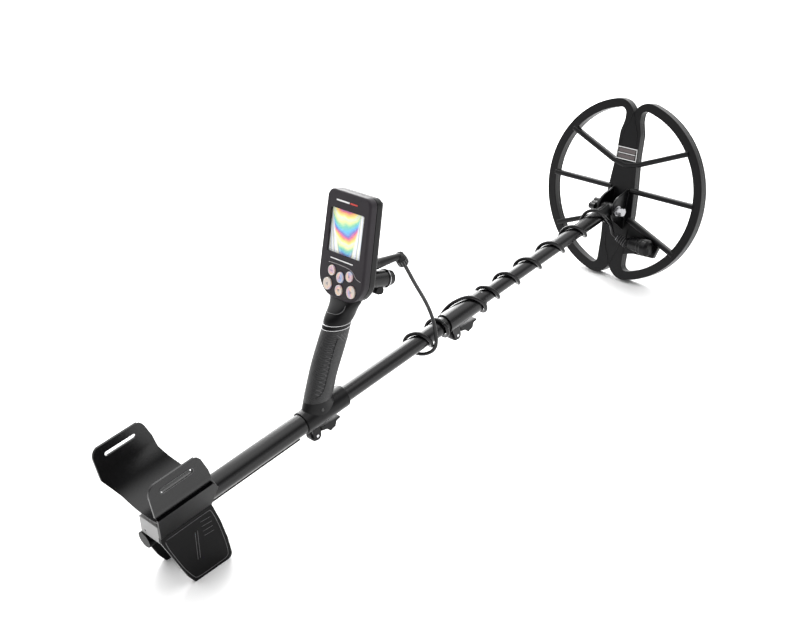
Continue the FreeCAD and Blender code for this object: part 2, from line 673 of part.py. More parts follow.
def winding_loop(side, grow):
    """The D-shaped face that a winding encloses, grown outward."""
    a = LOBE_ANGLE
    corner = WINDING_CORNER_R + grow
    limb = LOBE_X - corner
    edges = [
        Part.LineSegment(V(limb, -LOBE_Y, 0), V(limb, LOBE_Y, 0)).toShape(),
        circle_arc(LOBE_X, LOBE_Y, corner, 180, a),
        circle_arc(0, 0, WINDING_MID_R + grow, a, -a),
        circle_arc(LOBE_X, -LOBE_Y, corner, -a, -180),
    ]
    face = Part.Face(Part.Wire(edges))
    if side < 0:
        face = face.mirror(V(0, 0, 0), V(1, 0, 0))
    return face


def winding_solid(side, half_width, z0, z1):
    band = winding_loop(side, half_width).cut(winding_loop(side, -half_width))
    band.translate(V(0, 0, z0))
    return band.extrude(V(0, 0, z1 - z0)).Solids[0]


def coil_top_shell():
    plate = coil_plate(COIL_SPLIT, 0)
    web = prism(polygon([(18, -42), (38, -49), (84, -67), (76, -90), (40, -92), (18, -98)]), -8.0, -1.0)
    ears = [hinge_ear(EAR_INNER, EAR_OUTER), hinge_ear(-EAR_OUTER, -EAR_INNER)]
    shell = fused([plate, web] + coil_spokes() + ears)
    for side in (-1, 1):
        shell = shell.cut(winding_solid(side, 2.8, COIL_SPLIT, -4.2))
    shell = shell.cut(along_pivot(-20, 20, BOLT_R))
    return placed(shell, COIL)


def coil_lower_cover():
    return placed(coil_plate(COIL_BOTTOM, COIL_SPLIT), COIL)


def winding(side):
    return placed(winding_solid(side, 2.4, -8.8, -4.6), COIL)


def coil_label():
    return placed(prism(polygon(LABEL_CORNERS), 0, 0.5), COIL)


def cable_boss():
    profile = [(34, 0), (34, 7.4), (39, 7.6), (42, 9.2), (56, 10.2), (58, 11.8), (63, 12.2), (64, 13.0),
               (72, 13.0),
               (75.5, 10.0), (76, 0)]
    corners = [V(x, 0, r) for x, r in profile]
    solid = Part.Face(Part.makePolygon(corners + corners[:1])).revolve(V(0, 0, 0), V(1, 0, 0), 360)
    solid.translate(V(0, BOSS_FORE, BOSS_HEIGHT))
    base = slab(42, 70, BOSS_FORE - 8, BOSS_FORE + 8, -1.0, BOSS_HEIGHT)
    boss = solid.fuse(base)
    above_web = slab(0, 120, -120, 0, -1.0, 60)
    boss = boss.common(above_web)
    for bar in coil_spokes():
        boss = boss.cut(bar)
    return placed(boss, COIL)


def strain_relief():
    cone = rod_between(RELIEF_BASE, RELIEF_TIP, 7.4, 4.4)
    axis = RELIEF_TIP - RELIEF_BASE
    for step in range(4):
        spot = RELIEF_BASE + axis * (0.28 + 0.17 * step)
        outer = 9.0 - 0.5 * step
        inner = 6.2 - 0.5 * step
        groove = rod_between(spot, spot + axis * 0.07, outer, outer)
        cone = cone.cut(groove.cut(rod_between(spot, spot + axis * 0.07, inner, inner)))
    return placed(cone, COIL).cut(cable_boss())


def hinge_bolt():
    shank = along_pivot(-EAR_OUTER - 14, EAR_OUTER, BOLT_R)
    flange = along_pivot(EAR_OUTER, EAR_OUTER + 2.4, 8.0)
    flats = []
    for corner in range(6):
        turn = math.radians(60 * corner + 30)
        flats.append(V(EAR_OUTER + 2.4, PIVOT.y + 6.6 * math.cos(turn), PIVOT.z + 6.6 * math.sin(turn)))
    hexagon = Part.Face(Part.makePolygon(flats + flats[:1])).extrude(V(10.0, 0, 0))
    return placed(fused([shank, flange, hexagon]), COIL)


def hinge_knob():
    inner = -EAR_OUTER - 0.3
    hub = along_pivot(inner - 5, inner, 7.0)
    pieces = [hub, along_pivot(inner - 15, inner - 5, 8.0)]
    for lobe in range(3):
        turn = math.radians(120 * lobe + 90)
        centre = V(inner - 15, PIVOT.y + 7.6 * math.cos(turn), PIVOT.z + 7.6 * math.sin(turn))
        pieces.append(Part.makeCylinder(5.0, 10, centre, V(1, 0, 0)))
    knob = fused(pieces)
    return placed(knob.cut(along_pivot(-EAR_OUTER - 14, -EAR_OUTER, BOLT_R + RUNNING_GAP)), COIL)


# ---- coil lead ----
# Stations of the turns round the shaft: angle in degrees from the user's left over the top, X, radius.
UPPER_TURNS = [(180, -411.0, 19.2), (210, -413.5, 20.4), (240, -418.0, 21.2), (270, -425.0, 21.0),
               (330, -437.0, 18.0), (360, -438.5, 16.2), (420, -432.0, 15.0), (450, -427.0, 15.0),
               (540, -417.0, 15.0), (630, -408.0, 15.0), (720, -397.0, 15.0), (810, -387.5, 15.0),
               (870, -385.0, 15.0)]
MIDDLE_TURNS = [(840, -386.25, 15.0), (870, -385.0, 15.0), (960, -381.5, 15.3), (990, -380.0, 16.6),
                (1020, -377.4, 17.7), (1080, -364.0, 17.7), (1140, -341.0, 17.7),
                (1170, -326.0, 17.7), (1260, -309.0, 17.7),
                (1350, -303.0, 17.7), (1380, -299.3, 17.2), (1410, -296.6, 15.6), (1440, -295.0, 14.2),
                (1530, -289.5, 13.8), (1890, -246.0, 13.8), (2250, -199.5, 13.8), (2610, -146.5, 13.8),
                (2970, -91.0, 13.8), (3150, -66.0, 13.8)]
LOWER_TURNS = [(3120, -70.17, 13.8), (3150, -66.0, 13.8), (3270, -49.0, 13.8)]
UPPER_FREE = [(-449.0, -24.0, 141.6), (-443.8, -24.0, 127.5), (-437.8, -23.6, 110.0), (-430.5, -22.6, 92.5),
              (-423.3, -21.4, 75.5), (-417.0, -20.3, 58.5), (-412.3, -19.3, 41.5), (-409.8, -18.8, 26.5),
              (-409.5, -18.9, 12.5)]
LOWER_FREE = [(-46.5, 8.0, 13.6), (-44.0, 1.2, 17.6), (-40.3, -6.3, 18.2), (-36.2, -12.2, 14.0),
              (-31.6, -15.0, 6.4), (-25.6, -15.0, -1.6), (-19.0, -14.0, -10.2), (-13.0, -12.6, -19.2),
              (-9.6, -10.6, -28.6)]
SPLIT_GAP = 0.1             # between the ends of two lengths of lead


def between(stations, angle):
    """X and radius of the lead's turns at an angle."""
    for (a0, x0, r0), (a1, x1, r1) in zip(stations, stations[1:]):
        if angle <= a1:
            part = (angle - a0) / (a1 - a0)
            return x0 + (x1 - x0) * part, r0 + (r1 - r0) * part
    return stations[-1][1:]


def winding_points(stations):
    points = []
    for angle in range(stations[0][0], stations[-1][0] + 1, WINDING_STEP):
        x, reach = between(stations, angle)
        turn = math.radians(angle)
        points.append(V(x, reach * math.cos(turn), reach * math.sin(turn)))
    return points


def split_start(points):
    """The points with the first moved to half-way along its run, just past the split."""
    run = points[1] - points[0]
    part = 0.5 + SPLIT_GAP / (2 * run.Length)
    return [points[0] + run * part] + points[1:]


def split_end(points):
    return split_start(points[::-1])[::-1]


def lead(points, name):
    """A round tube along straight runs joined by tangent arcs."""
    arcs = []
    for before, here, after in zip(points, points[1:], points[2:]):
        run_in, run_out = here - before, after - here
        shorter = min(run_in.Length, run_out.Length)
        turn = run_in.getAngle(run_out)
        radius = 0.45 * shorter / math.tan(turn / 2)
        back = run_in.normalize() * (0.45 * shorter)
        ahead = run_out.normalize() * (0.45 * shorter)
        start, end = here - back, here + ahead
        bisector = (ahead - back).normalize()
        depth = radius / math.cos(turn / 2) - radius
        arcs.append((start, here + bisector * depth, end, radius))
    edges = []
    at = points[0]
    for start, middle, end, radius in arcs:
        edges.append(Part.LineSegment(at, start).toShape())
        edges.append(Part.Arc(start, middle, end).toShape())
        at = end
    edges.append(Part.LineSegment(at, points[-1]).toShape())
    path = Part.Wire(edges)
    ring = Part.Wire([Part.Circle(points[0], points[1] - points[0], CABLE_R).toShape()])
    tube = path.makePipeShell([ring], True, False)
    radii = [arc[3] for arc in arcs]
    ideal = math.pi * CABLE_R ** 2 * path.Length
    print(name, "length", round(path.Length, 1), "radii", round(min(radii), 1), "to", round(max(radii), 1),
          "volume", round(tube.Volume / ideal, 4))
    return tube


def lower_end():
    tip = COIL.multVec(RELIEF_TIP)
    out = (tip - COIL.multVec(RELIEF_BASE)).normalize()
    return [tip + out * 7.0, tip]


def lead_points():
    """The points of the three lengths of lead, from the plug to the coil."""
    upper = [V(*p) for p in UPPER_FREE] + winding_points(UPPER_TURNS)
    lower = winding_points(LOWER_TURNS) + [V(*p) for p in LOWER_FREE] + lower_end()
    return {
        "lead_upper": split_end(upper),
        "lead_middle": split_end(split_start(winding_points(MIDDLE_TURNS))),
        "lead_lower": split_start(lower),
    }


def build():
    nodes = {
        "upper_tube": upper_tube(), "tube_end_cap": tube_end_cap(), "underside_rail": underside_rail(),
        "mid_tube": mid_tube(), "mid_bush": mid_bush(), "clamp_collar": collar(),
        "lower_tube": lower_tube(), "lower_bush": lower_bush(), "end_fitting": end_fitting(),
        "hinge_washers": hinge_washers(),
        "upper_lever": cam_lever(UPPER_LEVER), "upper_lever_pin": cam_pin(UPPER_LEVER),
        "lower_lever": cam_lever(LOWER_LEVER), "lower_lever_pin": cam_pin(LOWER_LEVER),
        "handle_body": handle_body(), "grip_sleeve": grip_sleeve(), "grip_ring": grip_ring(),
        "handle_screws": handle_screws(), "box_neck": box_neck(),
        "front_shell": front_shell(), "rear_shell": rear_shell(), "box_gasket": box_gasket(),
        "shell_screws": placed(screw_group(), BOX), "window": window(), "display": display(),
        "main_board": main_board(), "keypad_mat": keypad_mat(), "battery": battery(), "speaker": speaker(),
        "coil_socket": coil_socket(), "lead_plug": lead_plug(), "plug_nut": plug_nut(),
        "headphone_socket": headphone_socket(), "socket_cap": socket_cap(), "socket_tab": socket_tab(),
        "cuff_plate": cuff_plate(), "cuff_screws": cuff_screws(), "cuff_bracket": cuff_bracket(),
        "coil_top_shell": coil_top_shell(), "coil_lower_cover": coil_lower_cover(),
        "left_winding": winding(-1), "right_winding": winding(1), "coil_label": coil_label(),
        "cable_boss": cable_boss(), "strain_relief": strain_relief(), "hinge_bolt": hinge_bolt(),
        "hinge_knob": hinge_knob(),
    }
    for name, points in lead_points().items():
        nodes[name] = lead(points, name)
    for name in BUTTONS:
        nodes[name] = button(name)
    return nodes


def main():
    os.makedirs("parts", exist_ok=True)
    nodes = build()
    rise = FreeCAD.Placement(V(0, 0, 0), FreeCAD.Rotation(V(0, 1, 0), -SHAFT_RISE))
    floor_z = placed(nodes["coil_lower_cover"], rise).optimalBoundingBox(False).ZMin
    climb = math.radians(SHAFT_RISE)
    nodes["arm_stand"] = stand(lambda x: (floor_z - x * math.sin(climb)) / math.cos(climb))
    bounds = FreeCAD.BoundBox()
    for name, shape in nodes.items():
        nodes[name] = placed(shape, rise)
        if not name.startswith("lead_"):
            bounds.add(nodes[name].optimalBoundingBox(False))
    home = FreeCAD.Placement(V(-bounds.Center.x, 0, -floor_z), FreeCAD.Rotation())
    print("box", bounds, "moved by", home.Base)
    for name, shape in nodes.items():
        done = placed(shape, home)
        print(name, done.isValid(), round(done.Volume), len(done.Solids))
        done.exportStep("parts/%s.step" % name)


main()
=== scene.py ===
import json
import math

import bmesh
import bpy
from mathutils import Matrix, Vector

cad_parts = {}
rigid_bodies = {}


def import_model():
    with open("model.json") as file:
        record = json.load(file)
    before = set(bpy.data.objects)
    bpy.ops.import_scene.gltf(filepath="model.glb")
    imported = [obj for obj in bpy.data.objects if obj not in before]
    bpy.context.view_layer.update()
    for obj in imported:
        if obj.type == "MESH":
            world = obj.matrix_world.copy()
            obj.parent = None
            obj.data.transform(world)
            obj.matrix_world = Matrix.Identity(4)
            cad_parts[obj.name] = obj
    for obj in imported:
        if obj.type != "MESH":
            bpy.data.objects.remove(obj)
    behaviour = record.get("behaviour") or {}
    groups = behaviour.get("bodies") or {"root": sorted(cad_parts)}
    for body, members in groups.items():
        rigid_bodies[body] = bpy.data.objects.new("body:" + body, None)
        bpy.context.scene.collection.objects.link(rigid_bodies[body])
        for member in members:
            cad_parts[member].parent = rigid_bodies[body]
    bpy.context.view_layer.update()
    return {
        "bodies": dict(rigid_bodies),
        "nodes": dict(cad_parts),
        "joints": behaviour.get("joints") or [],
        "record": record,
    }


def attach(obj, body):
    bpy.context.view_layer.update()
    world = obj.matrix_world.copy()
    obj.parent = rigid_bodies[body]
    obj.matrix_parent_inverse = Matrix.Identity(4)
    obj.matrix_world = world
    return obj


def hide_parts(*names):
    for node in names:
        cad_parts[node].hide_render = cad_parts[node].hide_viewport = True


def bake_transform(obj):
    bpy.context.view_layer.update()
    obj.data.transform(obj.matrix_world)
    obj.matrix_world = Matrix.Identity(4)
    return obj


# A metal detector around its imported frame. Places are worked out in the shaft's frame, in millimetres:
# the origin is on the coil hinge, +X runs forward along the shaft, +Y to the user's left and +Z square
# to the shaft. The other local frames lean from that one; their origins are given as X and Z.

MM = 0.001
SHAFT_RISE = 2.5            # degrees
BOX_CENTRE, BOX_TILT = (-512.4, 209.2), 21.8
COIL_CENTRE, COIL_TILT = (32.5, 17.5), 20.95
GRIP_FOOT, GRIP_TILT = (-611.0, 12.0), 33.5


# ---- places ----
def leaning(origin_xz, tilt):
    """Local frame: x to the user's right, y up the leaning face, z out of it towards the user."""
    s, c = math.sin(math.radians(tilt)), math.cos(math.radians(tilt))
    x, z = origin_xz
    return Matrix(((0, s, -c, x), (-1, 0, 0, 0), (0, c, s, z), (0, 0, 0, 1)))


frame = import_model()
hinge = next(joint for joint in frame["joints"] if joint["name"] == "coil_tilt")
RISEN = Matrix.Rotation(-math.radians(SHAFT_RISE), 4, "Y")
SHAFT = Matrix.Translation(hinge["pos_m"]) @ RISEN @ Matrix.Scale(MM, 4)
BOX = SHAFT @ leaning(BOX_CENTRE, BOX_TILT)
COIL = SHAFT @ leaning(COIL_CENTRE, COIL_TILT)
GRIP = SHAFT @ leaning(GRIP_FOOT, GRIP_TILT)


# ---- camera ----
# The camera's place and its right, up and back directions, in the shaft's frame.
CAMERA_PLACE = Vector((-1302.9, -1015.1, 879.2))
CAMERA_RIGHT = Vector((0.69430, -0.70414, -0.14875))
CAMERA_UP = Vector((0.47025, 0.28740, 0.83442))
CAMERA_BACK = Vector((-0.54480, -0.64929, 0.53067))
LENS, SENSOR_WIDTH, CLIP_START = 53.8, 36.0, 0.05


def make_camera():
    data = bpy.data.cameras.new("camera")
    data.lens = LENS
    data.sensor_width = SENSOR_WIDTH
    data.clip_start = CLIP_START
    camera = bpy.data.objects.new("camera", data)
    bpy.context.scene.collection.objects.link(camera)
    turn = Matrix((CAMERA_RIGHT, CAMERA_UP, CAMERA_BACK)).transposed().to_4x4()
    camera.matrix_world = Matrix.Translation(SHAFT @ CAMERA_PLACE) @ RISEN @ turn
    bpy.context.scene.camera = camera


make_camera()


# ---- lead ----
LEAD_R = 2.6
LEAD_SIDES = 16
TURN_STEP = 30              # degrees between the route's points on a turn
SPLIT_GAP = 0.1
# Turns round the shaft: angle in degrees, X, and radius of the lead's middle line.
UPPER_TURNS = [(180, -411.0, 19.2), (210, -413.5, 20.4), (240, -418.0, 21.2), (270, -425.0, 21.0),
               (330, -437.0, 18.0), (360, -438.5, 16.2), (420, -432.0, 15.0), (450, -427.0, 15.0),
               (540, -417.0, 15.0), (630, -408.0, 15.0), (720, -397.0, 15.0), (810, -387.5, 15.0),
               (870, -385.0, 15.0)]
MIDDLE_TURNS = [(840, -386.25, 15.0), (870, -385.0, 15.0), (960, -381.5, 15.3), (990, -380.0, 16.6),
                (1020, -377.4, 17.7), (1080, -364.0, 17.7), (1140, -341.0, 17.7), (1170, -326.0, 17.7),
                (1260, -309.0, 17.7), (1350, -303.0, 17.7), (1380, -299.3, 17.2), (1410, -296.6, 15.6),
                (1440, -295.0, 14.2), (1530, -289.5, 13.8), (1890, -246.0, 13.8), (2250, -199.5, 13.8),
                (2610, -146.5, 13.8), (2970, -91.0, 13.8), (3150, -66.0, 13.8)]
LOWER_TURNS = [(3120, -70.17, 13.8), (3150, -66.0, 13.8), (3270, -49.0, 13.8)]
# Points off the shaft: down from the plug, and across to the coil.
UPPER_FREE = [(-449.0, -24.0, 141.6), (-443.8, -24.0, 127.5), (-437.8, -23.6, 110.0), (-430.5, -22.6, 92.5),
              (-423.3, -21.4, 75.5), (-417.0, -20.3, 58.5), (-412.3, -19.3, 41.5), (-409.8, -18.8, 26.5),
              (-409.5, -18.9, 12.5)]
LOWER_FREE = [(-46.5, 8.0, 13.6), (-44.0, 1.2, 17.6), (-40.3, -6.3, 18.2), (-36.2, -12.2, 14.0),
              (-31.6, -15.0, 6.4), (-25.6, -15.0, -1.6), (-19.0, -14.0, -10.2), (-13.0, -12.6, -19.2),
              (-9.6, -10.6, -28.6)]
# The strain relief's middle line in the coil's frame, and the lead's straight run into its tip.
RELIEF_BASE, RELIEF_TIP = Vector((36.0, -76.5, 12.0)), Vector((18.0, -69.0, 18.0))
RELIEF_RUN = 7.0


def between(stations, angle):
    """X and radius of the lead's turns at an angle."""
    for (a0, x0, r0), (a1, x1, r1) in zip(stations, stations[1:]):
        if angle <= a1:
            part = (angle - a0) / (a1 - a0)
            return x0 + (x1 - x0) * part, r0 + (r1 - r0) * part
    return stations[-1][1:]


def winding_points(stations):
    """Points round the shaft, at every step from the first angle to the last."""
    points = []
    for angle in range(stations[0][0], stations[-1][0] + 1, TURN_STEP):
        x, reach = between(stations, angle)
        turn = math.radians(angle)
        points.append((x, reach * math.cos(turn), reach * math.sin(turn)))
    return points


def split_start(points):
    """The points with the first moved to half-way along its run, just past the split."""
    first, second = Vector(points[0]), Vector(points[1])
    run = second - first
    part = 0.5 + SPLIT_GAP / (2 * run.length)
    return [first + run * part] + points[1:]


def split_end(points):
    """The points with the last moved to half-way along its run, just short of the split."""
    return split_start(points[::-1])[::-1]


def smooth_line(points, frame=SHAFT):
    """Points along the NURBS spline with these control points, in the row frame."""
    curve = bpy.data.curves.new("line", "CURVE")
    curve.dimensions = "3D"
    curve.resolution_u = 8
    spline = curve.splines.new("NURBS")
    spline.points.add(len(points) - 1)
    for slot, point in zip(spline.points, points):
        slot.co = (*(frame @ Vector(point)), 1)
    spline.order_u = 3
    spline.use_endpoint_u = True
    carrier = bpy.data.objects.new("line", curve)
    line = bpy.data.meshes.new_from_object(carrier)
    path = [v.co.copy() for v in line.vertices]
    bpy.data.objects.remove(carrier)
    bpy.data.meshes.remove(line)
    return path


def new_piece(name, bm, material, smooth=True):
    mesh = bpy.data.meshes.new(name)
    bmesh.ops.recalc_face_normals(bm, faces=bm.faces)
    bm.to_mesh(mesh)
    bm.free()
    for face in mesh.polygons:
        face.use_smooth = smooth
    mesh.materials.append(material)
    piece = bpy.data.objects.new(name, mesh)
    bpy.context.scene.collection.objects.link(piece)
    return piece


def tube_along(name, path, radius, sides, material):
    """A tube round a line, its section carried along without twisting."""
    bm = bmesh.new()
    side = None
    rings = []
    for i, point in enumerate(path):
        ahead = (path[min(i + 1, len(path) - 1)] - path[max(i - 1, 0)]).normalized()
        if side is None:
            side = ahead.orthogonal().normalized()
        side = (side - ahead * side.dot(ahead)).normalized()
        across = ahead.cross(side)
        ring = []
        for k in range(sides):
            turn = 2 * math.pi * k / sides
            ring.append(bm.verts.new(point + (side * math.cos(turn) + across * math.sin(turn)) * radius))
        rings.append(ring)
    for low, high in zip(rings, rings[1:]):
        for k in range(sides):
            bm.faces.new((low[k], low[(k + 1) % sides], high[(k + 1) % sides], high[k]))
    bm.faces.new(rings[0])
    bm.faces.new(rings[-1])
    return new_piece(name, bm, material)


# ---- materials ----
def new_material(name):
    material = bpy.data.materials.new(name)
    material.use_nodes = True
    nodes = material.node_tree.nodes
    return material, nodes, material.node_tree.links, nodes["Principled BSDF"]


def noise(nodes, links, place, scale, detail=3.0, distortion=0.0):
    """A noise texture's value, about 0.5 on average."""
    texture = nodes.new("ShaderNodeTexNoise")
    texture.inputs["Scale"].default_value = scale
    texture.inputs["Detail"].default_value = detail
    texture.inputs["Distortion"].default_value = distortion
    links.new(place, texture.inputs["Vector"])
    return texture.outputs["Fac"]


def soften_edges(nodes, links, shader, height, depth, rounding):
    """Bump from a height, on normals that turn smoothly over sharp edges."""
    round_off = nodes.new("ShaderNodeBevel")
    round_off.samples = 6
    round_off.inputs["Radius"].default_value = rounding * MM
    bump = nodes.new("ShaderNodeBump")
    bump.inputs["Strength"].default_value = 0.5
    bump.inputs["Distance"].default_value = depth
    links.new(round_off.outputs["Normal"], bump.inputs["Normal"])
    links.new(height, bump.inputs["Height"])
    links.new(bump.outputs["Normal"], shader.inputs["Normal"])


UNEVENNESS = 18.0           # scale of the broad noise in colour and sheen
SHEEN_SPREAD = 0.06


def moulded(name, color, roughness, grain=2500.0, depth=0.00004, specular=0.3, spread=0.25,
            metallic=0.0, rounding=0.6):
    """Moulded plastic or rubber: a fine spark-eroded grain, and faint unevenness in colour and sheen."""
    material, nodes, links, shader = new_material(name)
    place = nodes.new("ShaderNodeTexCoord").outputs["Object"]
    broad = noise(nodes, links, place, UNEVENNESS, 4.0)
    tone = nodes.new("ShaderNodeMix")
    tone.data_type = "RGBA"
    tone.inputs["A"].default_value = (*[c * (1 - spread) for c in color], 1)
    tone.inputs["B"].default_value = (*[c * (1 + spread) for c in color], 1)
    links.new(broad, tone.inputs["Factor"])
    links.new(tone.outputs["Result"], shader.inputs["Base Color"])
    gloss = nodes.new("ShaderNodeMapRange")
    gloss.inputs["To Min"].default_value = roughness - SHEEN_SPREAD
    gloss.inputs["To Max"].default_value = roughness + SHEEN_SPREAD
    links.new(broad, gloss.inputs["Value"])
    links.new(gloss.outputs["Result"], shader.inputs["Roughness"])
    soften_edges(nodes, links, shader, noise(nodes, links, place, grain), depth, rounding)
    shader.inputs["Specular IOR Level"].default_value = specular
    shader.inputs["Metallic"].default_value = metallic
    return material


def places_in(nodes, links, frame):
    """Coordinates in millimetres in a local frame."""
    place = nodes.new("ShaderNodeTexCoord").outputs["Object"]
    back = frame.inverted()
    mapping = nodes.new("ShaderNodeMapping")
    mapping.inputs["Location"].default_value = back.to_translation()
    mapping.inputs["Rotation"].default_value = back.to_euler()
    mapping.inputs["Scale"].default_value = back.to_scale()
    links.new(place, mapping.inputs["Vector"])
    return mapping.outputs["Vector"]


def ramp(nodes, links, value, stops):
    """A value turned into colours, given as positions and linear colours."""
    chart = nodes.new("ShaderNodeValToRGB")
    entries = chart.color_ramp.elements
    while len(entries) < len(stops):
        entries.new(0.5)
    for entry, (position, color) in zip(entries, stops):
        entry.position = position
        entry.color = (*color, 1)
    links.new(value, chart.inputs["Fac"])
    return chart.outputs["Color"]


def sum_of(nodes, links, terms, offset=0.0):
    """offset plus each value times its weight."""
    total = None
    for value, weight in terms:
        step = nodes.new("ShaderNodeMath")
        step.operation = "MULTIPLY_ADD"
        step.inputs[1].default_value = weight
        step.inputs[2].default_value = offset
        links.new(value, step.inputs[0])
        if total is not None:
            links.new(total, step.inputs[2])
        total = step.outputs["Value"]
    return total


RAINBOW = [(0.0, (0.72, 0.80, 0.66)), (0.10, (0.95, 0.82, 0.12)), (0.22, (1.0, 0.40, 0.04)),
           (0.32, (0.75, 0.03, 0.22)), (0.42, (0.10, 0.08, 0.55)), (0.54, (0.02, 0.45, 0.80)),
           (0.70, (0.10, 0.62, 0.40)), (0.84, (0.80, 0.85, 0.30)), (1.0, (0.72, 0.80, 0.66))]
SIDE_TINTS = [(0.0, (0.82, 0.90, 0.84)), (0.25, (0.90, 0.86, 0.66)), (0.41, (0.10, 0.14, 0.18)),
              (0.47, (0.66, 0.76, 0.86)), (0.8, (0.88, 0.84, 0.88)), (1.0, (0.82, 0.90, 0.84))]


def math_step(nodes, links, operation, value, other=0.0):
    step = nodes.new("ShaderNodeMath")
    step.operation = operation
    step.inputs[1].default_value = other
    links.new(value, step.inputs[0])
    return step.outputs["Value"]


BOWL_POWER = 2.2            # how the bands turn up towards the sides
BAND_RISE, BAND_BOWL, BAND_START = 0.035, -0.0004, 0.22
EDGE_RISE, EDGE_BOWL, EDGE_START = 0.020, -0.0019, 4.0
WAVER_SCALE, WAVER = 0.045, 0.5
PALE_FROM, PALE_TO, PALE_RISE = 560.0, 760.0, -20.0


def lit_screen(name):
    """A bright display behind stressed film: U-shaped spectral bands down the middle, pale at the sides."""
    material, nodes, links, shader = new_material(name)
    place = places_in(nodes, links, BOX)
    parts = nodes.new("ShaderNodeSeparateXYZ")
    links.new(place, parts.inputs["Vector"])
    across, height = parts.outputs["X"], parts.outputs["Y"]
    waver = noise(nodes, links, place, WAVER_SCALE, 1.0, 0.3)
    aside = sum_of(nodes, links, [(across, 1.0), (height, 0.10)], 3.0)
    bowl = math_step(nodes, links, "POWER", math_step(nodes, links, "ABSOLUTE", aside), BOWL_POWER)
    phase = sum_of(nodes, links, [(height, BAND_RISE), (bowl, BAND_BOWL), (waver, WAVER)], BAND_START)
    bands = ramp(nodes, links, math_step(nodes, links, "FRACT", phase), RAINBOW)
    steep = sum_of(nodes, links, [(height, EDGE_RISE), (bowl, EDGE_BOWL), (waver, WAVER)], EDGE_START)
    edges = ramp(nodes, links, math_step(nodes, links, "FRACT", steep), SIDE_TINTS)
    pale = nodes.new("ShaderNodeMapRange")
    pale.inputs["From Min"].default_value = PALE_FROM
    pale.inputs["From Max"].default_value = PALE_TO
    links.new(sum_of(nodes, links, [(bowl, 1.0), (height, PALE_RISE)]), pale.inputs["Value"])
    picture = nodes.new("ShaderNodeMix")
    picture.data_type = "RGBA"
    links.new(pale.outputs["Result"], picture.inputs["Factor"])
    links.new(bands, picture.inputs["A"])
    links.new(edges, picture.inputs["B"])
    links.new(picture.outputs["Result"], shader.inputs["Base Color"])
    links.new(picture.outputs["Result"], shader.inputs["Emission Color"])
    shader.inputs["Emission Strength"].default_value = 0.15
    shader.inputs["Roughness"].default_value = 0.3
    return material


PEARL_TINTS = [(0.36, (0.30, 0.38, 0.62)), (0.46, (0.62, 0.36, 0.46)), (0.56, (0.72, 0.50, 0.34)),
               (0.68, (0.55, 0.52, 0.50))]


def mother_of_pearl(name):
    """Pearl keys: pink, cream and blue drifting into each other under a clear coat."""
    material, nodes, links, shader = new_material(name)
    place = nodes.new("ShaderNodeTexCoord").outputs["Object"]
    drift = noise(nodes, links, place, 55.0, 2.0, 0.8)
    color = ramp(nodes, links, drift, PEARL_TINTS)
    links.new(color, shader.inputs["Base Color"])
    soften_edges(nodes, links, shader, noise(nodes, links, place, 900.0), 0.00003, 0.5)
    shader.inputs["Roughness"].default_value = 0.28
    shader.inputs["Coat Weight"].default_value = 0.4
    return material


def clear_pane(name):
    """Clear plastic, faintly smeared."""
    material, nodes, links, shader = new_material(name)
    place = nodes.new("ShaderNodeTexCoord").outputs["Object"]
    smear = nodes.new("ShaderNodeMapRange")
    smear.inputs["To Min"].default_value = 0.03
    smear.inputs["To Max"].default_value = 0.12
    links.new(noise(nodes, links, place, 40.0, 4.0), smear.inputs["Value"])
    links.new(smear.outputs["Result"], shader.inputs["Roughness"])
    shader.inputs["Base Color"].default_value = (0.95, 0.96, 1.0, 1)
    shader.inputs["Alpha"].default_value = 0.10
    return material


def grip_rubber(name):
    """Moulded rubber, with rows of small slanting strokes all round."""
    material, nodes, links, shader = new_material(name)
    place = places_in(nodes, links, GRIP)
    slant = nodes.new("ShaderNodeTexWave")
    slant.bands_direction = "DIAGONAL"
    slant.inputs["Scale"].default_value = 0.22
    slant.inputs["Distortion"].default_value = 2.0
    slant.inputs["Detail"].default_value = 1.0
    links.new(place, slant.inputs["Vector"])
    strokes = nodes.new("ShaderNodeTexVoronoi")
    strokes.inputs["Scale"].default_value = 0.45
    links.new(place, strokes.inputs["Vector"])
    fine = noise(nodes, links, place, 3.0)
    relief = [(slant.outputs["Fac"], 0.6), (strokes.outputs["Distance"], 0.5), (fine, 0.3)]
    height = sum_of(nodes, links, relief)
    soften_edges(nodes, links, shader, height, 0.0009, 0.8)
    color = ramp(nodes, links, fine, [(0.3, (0.006, 0.006, 0.0065)), (0.7, (0.014, 0.014, 0.015))])
    links.new(color, shader.inputs["Base Color"])
    shader.inputs["Roughness"].default_value = 0.42
    shader.inputs["Specular IOR Level"].default_value = 0.5
    return material


BLACK = (0.003, 0.003, 0.0034)
body_plastic = moulded("body_plastic", BLACK, 0.31, specular=0.2, rounding=0.6)
fine_plastic = moulded("fine_plastic", BLACK, 0.26, specular=0.3, rounding=0.25)
box_plastic = moulded("box_plastic", (0.025, 0.0215, 0.0255), 0.42, specular=0.15, rounding=1.0)
cuff_plastic = moulded("cuff_plastic", BLACK, 0.25, specular=0.4, rounding=1.0)
stand_plastic = moulded("stand_plastic", (0.0012, 0.0012, 0.0014), 0.36, specular=0.1, rounding=0.8)
coil_plastic = moulded("coil_plastic", BLACK, 0.33, specular=0.2, rounding=1.8)
tube_finish = moulded("tube_finish", (0.002, 0.002, 0.0023), 0.24, grain=1400.0, depth=0.00001,
                      specular=0.36)
lead_rubber = moulded("lead_rubber", BLACK, 0.27, specular=0.35)
grey_plastic = moulded("grey_plastic", (0.26, 0.26, 0.26), 0.4, spread=0.12)
steel = moulded("steel", (0.62, 0.62, 0.63), 0.22, metallic=1.0, spread=0.08, rounding=0.3)
dull_steel = moulded("dull_steel", (0.30, 0.30, 0.31), 0.25, metallic=1.0, spread=0.08, rounding=0.5)
